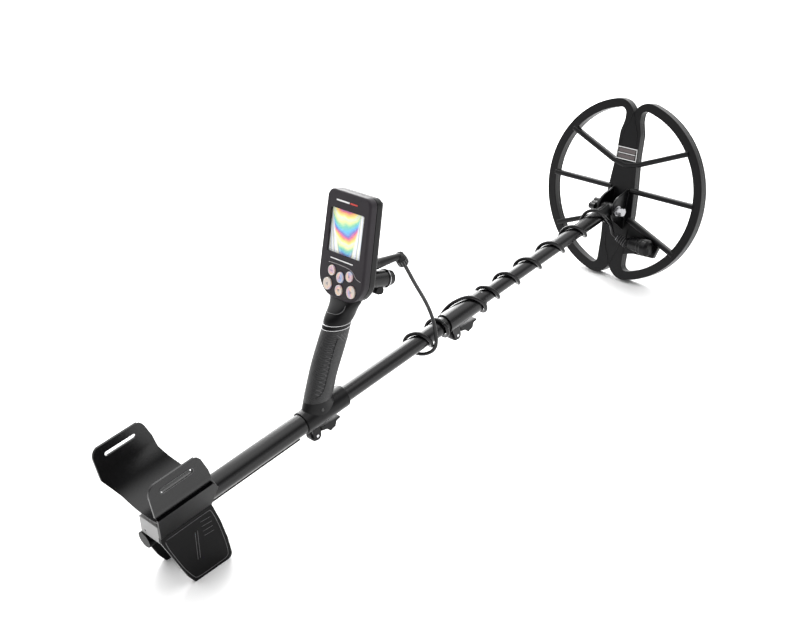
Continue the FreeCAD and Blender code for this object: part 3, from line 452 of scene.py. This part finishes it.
dark_steel = moulded("dark_steel", (0.05, 0.05, 0.05), 0.35, metallic=0.6)
seal_rubber = moulded("seal_rubber", (0.006, 0.006, 0.0065), 0.6, specular=0.2)
board_laminate = moulded("board_laminate", (0.02, 0.10, 0.05), 0.4)
cell_wrap = moulded("cell_wrap", (0.10, 0.13, 0.20), 0.35)
copper_wire = moulded("copper_wire", (0.60, 0.25, 0.12), 0.35, grain=900.0, depth=0.0002, metallic=1.0)
print_white = moulded("print_white", (0.75, 0.75, 0.75), 0.4, spread=0.05)
print_red = moulded("print_red", (0.55, 0.05, 0.04), 0.4, spread=0.05)
print_grey = moulded("print_grey", (0.30, 0.28, 0.29), 0.4, spread=0.08)
panel_grey = moulded("panel_grey", (0.10, 0.085, 0.085), 0.4, spread=0.2)
label_print = moulded("label_print", (0.02, 0.018, 0.018), 0.4)
# The fine raised beads and ribs are real moulded ridges of black plastic. Their dark grey colour, lighter
# than the black round them, is a painted highlight so they read as light lines.
painted_highlight_plastic = moulded("painted_highlight_plastic", (0.05, 0.05, 0.052), 0.3, specular=0.7)
key_rim = moulded("key_rim", (0.62, 0.60, 0.58), 0.3, spread=0.12)
pearl = mother_of_pearl("pearl")
screen_look = lit_screen("screen_look")
pane = clear_pane("pane")
rubber = grip_rubber("rubber")

FINISHES = {
    "tube_black": tube_finish, "body_black": body_plastic, "coil_black": coil_plastic, "bezel": box_plastic,
    "pearl": pearl, "grip": rubber, "seal": seal_rubber, "grey": grey_plastic, "steel": steel,
    "ring": steel, "glass": pane, "screen": screen_look, "board": board_laminate, "cell": cell_wrap,
    "copper": copper_wire, "label": label_print, "lead": lead_rubber,
}
NODE_FINISHES = {
    "arm_stand": stand_plastic, "cuff_plate": cuff_plastic, "cuff_bracket": stand_plastic,
    "grip_ring": body_plastic, "end_fitting": body_plastic, "coil_socket": fine_plastic,
    "plug_nut": fine_plastic, "headphone_socket": fine_plastic, "socket_cap": fine_plastic,
    "hinge_knob": fine_plastic,
    "clamp_collar": tube_finish, "handle_screws": dark_steel, "hinge_bolt": dull_steel,
}


def finish_frame():
    """Each CAD node gets its own finish, or the one of its material slot."""
    for subpart in frame["record"]["subparts"]:
        node = frame["nodes"][subpart["node"]]
        material = NODE_FINISHES.get(subpart["node"], FINISHES[subpart["material_slot"]])
        node.data.materials.clear()
        node.data.materials.append(material)


finish_frame()


def make_lead(name, node, points):
    path = smooth_line(points)
    piece = tube_along(name, path, LEAD_R * MM, LEAD_SIDES, lead_rubber)
    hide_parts(node)
    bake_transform(piece)


def relief_run():
    """The last points of the lead, straight into the strain relief's tip."""
    base = SHAFT.inverted() @ (COIL @ RELIEF_BASE)
    tip = SHAFT.inverted() @ (COIL @ RELIEF_TIP)
    out = (tip - base).normalized()
    return [tip + out * RELIEF_RUN, tip]


upper_route = split_end(UPPER_FREE + winding_points(UPPER_TURNS))
middle_route = split_end(split_start(winding_points(MIDDLE_TURNS)))
lower_route = split_start(winding_points(LOWER_TURNS) + LOWER_FREE + relief_run())
make_lead("lead_upper_part", "lead_upper", upper_route)
make_lead("lead_middle_part", "lead_middle", middle_route)
make_lead("lead_lower_part", "lead_lower", lower_route)


# ---- small raised details ----
BEAD_SIDES = 8
RING_STEPS = 24             # points round a closed ring
BEAD_LIFT = 0.1             # how far a bead's middle line stands off the surface it follows
CAST_DISTANCE = 0.2         # metres; points are cast onto a surface from this far away


def bead(name, points, radius, material, body, frame=SHAFT):
    """A fine raised line that follows a surface."""
    piece = tube_along(name, smooth_line(points, frame), radius * MM, BEAD_SIDES, material)
    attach(piece, body)


def plate(name, outline, z0, z1, material, body, frame):
    """A thin plate with the given outline, its upper edges softened."""
    bm = bmesh.new()
    low = [bm.verts.new(frame @ Vector((x, y, z0))) for x, y in outline]
    high = [bm.verts.new(frame @ Vector((x, y, z1))) for x, y in outline]
    bm.faces.new(low)
    top = bm.faces.new(high)
    for k in range(len(outline)):
        after = (k + 1) % len(outline)
        bm.faces.new((low[k], low[after], high[after], high[k]))
    bmesh.ops.bevel(bm, geom=list(top.edges), offset=(z1 - z0) * 0.4 * MM, segments=2, affect="EDGES")
    piece = new_piece(name, bm, material, smooth=False)
    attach(piece, body)


def bar(x0, x1, y0, y1):
    """A rectangle's corners."""
    return [(x0, y0), (x1, y0), (x1, y1), (x0, y1)]


def moved(outline, x, y):
    return [(px + x, py + y) for px, py in outline]


ARROW = [(-2.2, -1.5), (2.2, -1.5), (0.0, 2.0)]
# Keys on the box's face: X and Y of the middle, half-width, half-height and the outline of the mark.
KEYS = {
    "button_upper_left": (-16.0, -50.0, 6.0, 6.7, bar(-2.2, 2.2, -0.6, 0.6)),
    "button_upper_centre": (0.0, -55.3, 6.2, 7.0, ARROW),
    "button_upper_right": (16.0, -50.0, 6.0, 6.7, [(-1.4, -2.0), (2.0, 0.0), (-1.4, 2.0)]),
    "button_lower_left": (-21.2, -68.4, 7.4, 8.0, [(1.6, -2.4), (1.6, 2.4), (-2.4, 0.0)]),
    "button_lower_centre": (0.0, -71.6, 6.2, 7.0, [(x, -y) for x, y in ARROW]),
    "button_lower_right": (21.2, -68.4, 7.4, 8.0, [(-1.6, -2.4), (2.4, 0.0), (-1.6, 2.4)]),
}
KEY_TOP = 1.5


def make_key_marks():
    """A small printed mark on each key."""
    for name, (x, y, _, _, mark) in KEYS.items():
        outline = moved(mark, x, y)
        plate(name + "_mark", outline, KEY_TOP - 0.1, KEY_TOP + 0.12, print_grey, name, BOX)


def make_box_lines():
    """The line that sets off the keys, and plain bars where a maker would print a name."""
    sweep = [(-23, -40.8, 0), (-15, -40.2, 0), (0, -40.2, 0), (14, -41.0, 0), (20.5, -43.4, 0),
             (24.5, -47.5, 0), (28.0, -50.8, 0), (35.6, -51.8, 0)]
    bead("key_line", sweep, 0.4, print_grey, "upper", BOX)
    bars = {"upper_bar": (bar(-21, 2, 36.8, 38.8), print_white),
            "upper_bar_end": (bar(3.5, 16, 36.8, 38.8), print_red),
            "lower_bar": (bar(-21, 19, -35.4, -33.9), print_white)}
    for name, (outline, material) in bars.items():
        plate(name, outline, -0.1, 0.15, material, "upper", BOX)


def make_label():
    """A plain label: a white rim round two grey panels."""
    frame_bars = {"rim_top": bar(-17.8, 17.8, 64.6, 65.8), "rim_low": bar(-18.4, 18.4, 46.8, 48.0),
                  "rim_left": [(-18.6, 46.8), (-17.3, 46.8), (-16.9, 65.8), (-18.0, 65.8)],
                  "rim_right": [(17.3, 46.8), (18.6, 46.8), (18.0, 65.8), (16.9, 65.8)],
                  "middle_line": bar(-15.5, 15.5, 55.9, 56.9)}
    for name, outline in frame_bars.items():
        plate("label_" + name, outline, 0.4, 0.7, print_white, "coil", COIL)
    for name, low in (("upper", 58.0), ("lower", 49.0)):
        panel = bar(-15.0, 15.0, low, low + 5.6)
        plate("label_panel_" + name, panel, 0.4, 0.62, panel_grey, "coil", COIL)


def make_rib_creases():
    """Lines where the two windings' limbs leave the notches and run down the rib."""
    half = [(0.6, 122, 0), (1.5, 116, 0), (5.0, 105, 0), (10.5, 94, 0), (13.8, 84, 0), (14.5, 70, 0)]
    for side in (-1, 1):
        for end in (-1, 1):
            name = "rib_crease_%s_%s" % ("left" if side < 0 else "right", "rear" if end < 0 else "fore")
            crease = [(side * x, end * y, z) for x, y, z in half]
            bead(name, crease, 0.55, coil_plastic, "coil", COIL)


LEG_TOP, LEG_LOW = 8.8, -82.6       # Z of the ends of the leg's outer face
LEG_TOP_Y, LEG_LOW_Y = 35.0, 31.8   # how far out it stands at those ends
# The rim on the leg's outer face, as X and Z.
LEG_RIM = [(-872, 3.6), (-840, 3.6), (-812, 3.6), (-809, 2), (-804.6, -20), (-802, -50), (-802, -70),
           (-804.5, -75), (-812, -75.6), (-835, -74.8), (-849, -74), (-852.5, -71), (-861, -52),
           (-868, -27), (-874, -4), (-874, 2)]


def on_right_leg(x, z):
    lean = (LEG_TOP_Y - LEG_LOW_Y) * (LEG_TOP - z) / (LEG_TOP - LEG_LOW)
    return (x, lean - LEG_TOP_Y, z)


def make_leg_lines():
    """On the right leg's outer face: a raised rim, a double rib down its middle and four short ribs."""
    lines = {"leg_rim_right": ([on_right_leg(x, z) for x, z in LEG_RIM], 0.45)}
    for k, x in enumerate((-836.0, -832.5)):
        rib = [on_right_leg(x + (z + 12) * 0.16, z) for z in (-12, -24, -38, -50)]
        lines["leg_rib_%d" % k] = (rib, 0.35)
    for k in range(4):
        top = -4.0 - 7.0 * k
        stroke = [on_right_leg(x, top - (x + 826) * 0.12) for x in (-826, -819, -812)]
        lines["leg_stroke_%d" % k] = (stroke, 0.3)
    for name, (points, radius) in lines.items():
        bead(name, points, radius, painted_highlight_plastic, "upper")


def on_node(node, point, direction):
    """Where a line through a point, coming along a direction, first meets a node's surface."""
    carrier = frame["nodes"][node]
    start = SHAFT @ Vector(point)
    way = (SHAFT.to_3x3() @ Vector(direction)).normalized()
    _, spot, _, _ = carrier.ray_cast(start - way * CAST_DISTANCE, way)
    return SHAFT.inverted() @ spot


def surface_bead(name, node, points, radius, material, direction):
    """A bead that follows a node's surface: the points are cast onto it along a direction."""
    out = Vector(direction).normalized() * -BEAD_LIFT
    bead(name, [on_node(node, p, direction) + out for p in points], radius, material, "upper")


def along(start, end, count):
    """Points evenly from start to end, both included."""
    a, b = Vector(start), Vector(end)
    return [a + (b - a) * (k / (count - 1)) for k in range(count)]


# The line down the grip's side. Steps and runs are X, Y and Z.
GRIP_LINE = [(-566.5, 0, 91.6), (-572.5, 0, 86.0), (-578.1, 0, 77.4), (-583.4, 0, 70.0), (-589.9, 0, 59.0),
             (-595.5, 0, 50.3), (-601.1, 0, 41.5), (-605.9, 0, 35.1), (-611.0, 0, 31.0), (-616.5, 0, 30.0)]
GRIP_RIBS = 3
GRIP_RIB_TOP, GRIP_RIB_RUN, GRIP_RIB_STEP = (-566.5, 0, 97.0), (7.0, 0, -12.0), (5.0, 0, -1.0)
STROKE_ROWS, STROKE_LANES = 12, 2
STROKE_TOP, STROKE_RUN = (-576.0, 0, 87.0), (3.4, 0, -2.6)
ROW_STEP, LANE_STEP = (-3.05, 0, -4.6), (-5.4, 0, -1.2)


def make_grip_lines():
    """On each side of the grip: a long line, slanting strokes behind it and ribs above it."""
    for side in (-1, 1):
        tag = "right" if side < 0 else "left"
        inward = (0, -side, 0)
        surface_bead("grip_line_" + tag, "grip_sleeve", GRIP_LINE, 0.5, body_plastic, inward)
        for k in range(GRIP_RIBS):
            top = Vector(GRIP_RIB_TOP) + Vector(GRIP_RIB_STEP) * k
            rib = along(top, top + Vector(GRIP_RIB_RUN), 4)
            surface_bead("grip_rib_%s_%d" % (tag, k), "grip_sleeve", rib, 0.5, painted_highlight_plastic, inward)
        for row in range(STROKE_ROWS):
            first = Vector(STROKE_TOP) + Vector(ROW_STEP) * row
            for lane in range(STROKE_LANES):
                start = first + Vector(LANE_STEP) * lane
                name = "grip_stroke_%s_%d_%d" % (tag, row, lane)
                stroke = along(start, start + Vector(STROKE_RUN), 3)
                surface_bead(name, "grip_sleeve", stroke, 0.42, painted_highlight_plastic, inward)


def ring_angles():
    return [2 * math.pi * k / RING_STEPS for k in range(RING_STEPS + 1)]


def ring_points(centre, half_x, half_y):
    """A closed oval of points round the z axis of a local frame."""
    x, y, z = centre
    return [(x + half_x * math.cos(a), y + half_y * math.sin(a), z) for a in ring_angles()]


RING_TILT = math.radians(12.0)
# The bright lines round the grip: X and Z of the middle, half-width and half-depth.
GRIP_RINGS = [(-554.2, 99.6, 15.9, 19.9), (-551.3, 104.4, 16.1, 19.7)]


def make_rings():
    """Fine bright lines: two round the top of the grip and one round the headphone socket."""
    for k, (x, z, half_width, half_depth) in enumerate(GRIP_RINGS):
        points = []
        for a in ring_angles():
            fore = half_depth * math.sin(a)
            points.append((x + fore * math.cos(RING_TILT), half_width * math.cos(a),
                           z - fore * math.sin(RING_TILT)))
        bead("grip_ring_line_%d" % k, points, 0.45, steel, "upper")
    bead("socket_line", ring_points((24.0, -55.0, -52.5), 11.8, 11.8), 0.6, steel, "upper", BOX)


NUT_TOP, NUT_END = Vector((-452.7, -24.0, 151.7)), Vector((-449.0, -24.0, 141.6))
NUT_RIBS = 14
NUT_REACH = 7.2


def make_nut_ribs():
    """Fine ribs round the plug's nut."""
    axis = (NUT_END - NUT_TOP).normalized()
    side = axis.orthogonal().normalized()
    for k in range(NUT_RIBS):
        turn = 2 * math.pi * k / NUT_RIBS
        out = (side * math.cos(turn) + axis.cross(side) * math.sin(turn)) * NUT_REACH
        rib = [NUT_TOP + axis * 1.2 + out, NUT_TOP + axis * 5.2 + out, NUT_END - axis * 1.2 + out]
        bead("nut_rib_%d" % k, rib, 0.45, painted_highlight_plastic, "nut")


def ring_round(centre, axis, radius):
    """A closed ring of points round an axis."""
    side = axis.orthogonal().normalized()
    across = axis.cross(side).normalized()
    return [centre + side * (radius * math.cos(a)) + across * (radius * math.sin(a)) for a in ring_angles()]


# Rings on the strain relief: how far along it, radius and material.
RELIEF_RINGS = [(0.24, 6.9, painted_highlight_plastic), (0.42, 6.3, painted_highlight_plastic), (0.60, 5.8, painted_highlight_plastic),
                (0.78, 5.2, painted_highlight_plastic), (0.93, 4.7, dull_steel)]


def make_relief_rings():
    """Raised rings on the strain relief, the outermost one light."""
    axis = RELIEF_TIP - RELIEF_BASE
    for k, (part, radius, material) in enumerate(RELIEF_RINGS):
        ring = ring_round(RELIEF_BASE + axis * part, axis, radius)
        bead("relief_ring_%d" % k, ring, 0.45, material, "coil", COIL)


NECK_LEDGE = [(-560.4, 7.0, 120.9), (-559.6, -0.5, 120.6), (-558.2, -6.6, 120.2), (-555.6, -10.2, 120.0),
              (-551.1, -12.9, 121.4), (-547.3, -14.1, 124.0), (-544.3, -13.6, 127.3)]


NECK_LEDGE_LIFT = Vector((-0.1, 0, 0.05))


def make_neck_ledge():
    """The moulded edge across the back of the neck, above its hollow."""
    ledge = [Vector(p) + NECK_LEDGE_LIFT for p in NECK_LEDGE]
    bead("neck_ledge", ledge, 0.55, painted_highlight_plastic, "upper")


KEY_RIM_INSET = 0.75


def make_key_rims():
    """The raised light rim of each key."""
    for name, (x, y, half_x, half_y, _) in KEYS.items():
        oval = ring_points((x, y, KEY_TOP - 0.3), half_x - KEY_RIM_INSET, half_y - KEY_RIM_INSET)
        bead(name + "_rim", oval, 0.6, key_rim, name, BOX)


# The strap slots' rim, as X and Z.
SLOT_OVAL = [(-871.3, 84.6), (-870.6, 87.5), (-867.0, 88.4), (-848.0, 88.4), (-830.0, 88.4), (-826.4, 87.5),
             (-825.7, 84.6), (-826.4, 81.7), (-830.0, 80.8), (-848.0, 80.8), (-867.0, 80.8), (-870.6, 81.7),
             (-871.3, 84.6)]


def make_slot_rims():
    """The rounded lips of the strap slots."""
    for side in (-1, 1):
        name = "slot_rim_right" if side < 0 else "slot_rim_left"
        oval = [(x, 0, z) for x, z in SLOT_OVAL]
        surface_bead(name, "cuff_plate", oval, 0.5, painted_highlight_plastic, (0, -side, 0))


make_key_marks()
make_key_rims()
make_relief_rings()
make_neck_ledge()
make_nut_ribs()
make_slot_rims()
make_box_lines()
make_label()
make_rib_creases()
make_leg_lines()
make_grip_lines()
make_rings()


# ---- studio ----
FLOOR_SIZE = 30.0
STRIP_DISTANCE, STRIP_WIDTH, STRIP_LENGTH, STRIP_POWER = 2.5, 1.0, 2.6, 85
STRIP_DIRECTION = (0.545, 0.68, 0.49)
BRIGHT_SIDE = (0.45, 0.45, 0.77)    # the direction that the sky is brightest in


def make_floor():
    """A plain pale floor, out to the horizon."""
    bm = bmesh.new()
    bmesh.ops.create_grid(bm, x_segments=1, y_segments=1, size=FLOOR_SIZE)
    floor_paint = moulded("floor_paint", (0.93, 0.93, 0.93), 0.8, grain=300.0, spread=0.01)
    floor = new_piece("floor", bm, floor_paint)


def make_strip_light():
    """A long softbox on the far side, its length lying across the object's."""
    place = Vector(STRIP_DIRECTION).normalized() * STRIP_DISTANCE
    data = bpy.data.lights.new("far_strip", "AREA")
    data.shape = "RECTANGLE"
    data.size = STRIP_WIDTH
    data.size_y = STRIP_LENGTH
    data.energy = STRIP_POWER
    lamp = bpy.data.objects.new("far_strip", data)
    bpy.context.scene.collection.objects.link(lamp)
    back = place.normalized()
    across = Vector((1, 0, 0)) - back * back.x
    across.normalize()
    turn = Matrix((across, back.cross(across), back)).transposed().to_4x4()
    lamp.matrix_world = Matrix.Translation(place) @ turn


def world_range(nodes, links, value, low, high, start, end):
    """A smooth change from start to end while the value goes from low to high."""
    change = nodes.new("ShaderNodeMapRange")
    change.interpolation_type = "SMOOTHSTEP"
    change.inputs["From Min"].default_value = low
    change.inputs["From Max"].default_value = high
    change.inputs["To Min"].default_value = start
    change.inputs["To Max"].default_value = end
    links.new(value, change.inputs["Value"])
    return change.outputs["Result"]


def make_sky():
    """Soft white light: strongest from above and the far left, weakest to the right, white at the horizon.

    Its strength is the larger of a slope from side to side and a band at the horizon.
    """
    world = bpy.data.worlds.new("studio")
    world.use_nodes = True
    nodes, links = world.node_tree.nodes, world.node_tree.links
    way = nodes.new("ShaderNodeTexCoord").outputs["Generated"]
    facing = nodes.new("ShaderNodeVectorMath")
    facing.operation = "DOT_PRODUCT"
    facing.inputs[1].default_value = Vector(BRIGHT_SIDE).normalized()
    links.new(way, facing.inputs[0])
    split = nodes.new("ShaderNodeSeparateXYZ")
    links.new(way, split.inputs["Vector"])
    strongest = nodes.new("ShaderNodeMath")
    strongest.operation = "MAXIMUM"
    slope = world_range(nodes, links, facing.outputs["Value"], low=0.0, high=0.8, start=0.15, end=2.4)
    horizon = world_range(nodes, links, split.outputs["Z"], low=0.15, high=0.4, start=1.0, end=0.1)
    links.new(slope, strongest.inputs[0])
    links.new(horizon, strongest.inputs[1])
    links.new(strongest.outputs["Value"], nodes["Background"].inputs["Strength"])
    nodes["Background"].inputs["Color"].default_value = (1, 1, 1, 1)
    bpy.context.scene.world = world


def make_studio():
    make_floor()
    make_sky()
    bpy.context.scene.view_settings.view_transform = "Standard"
    make_strip_light()


make_studio()
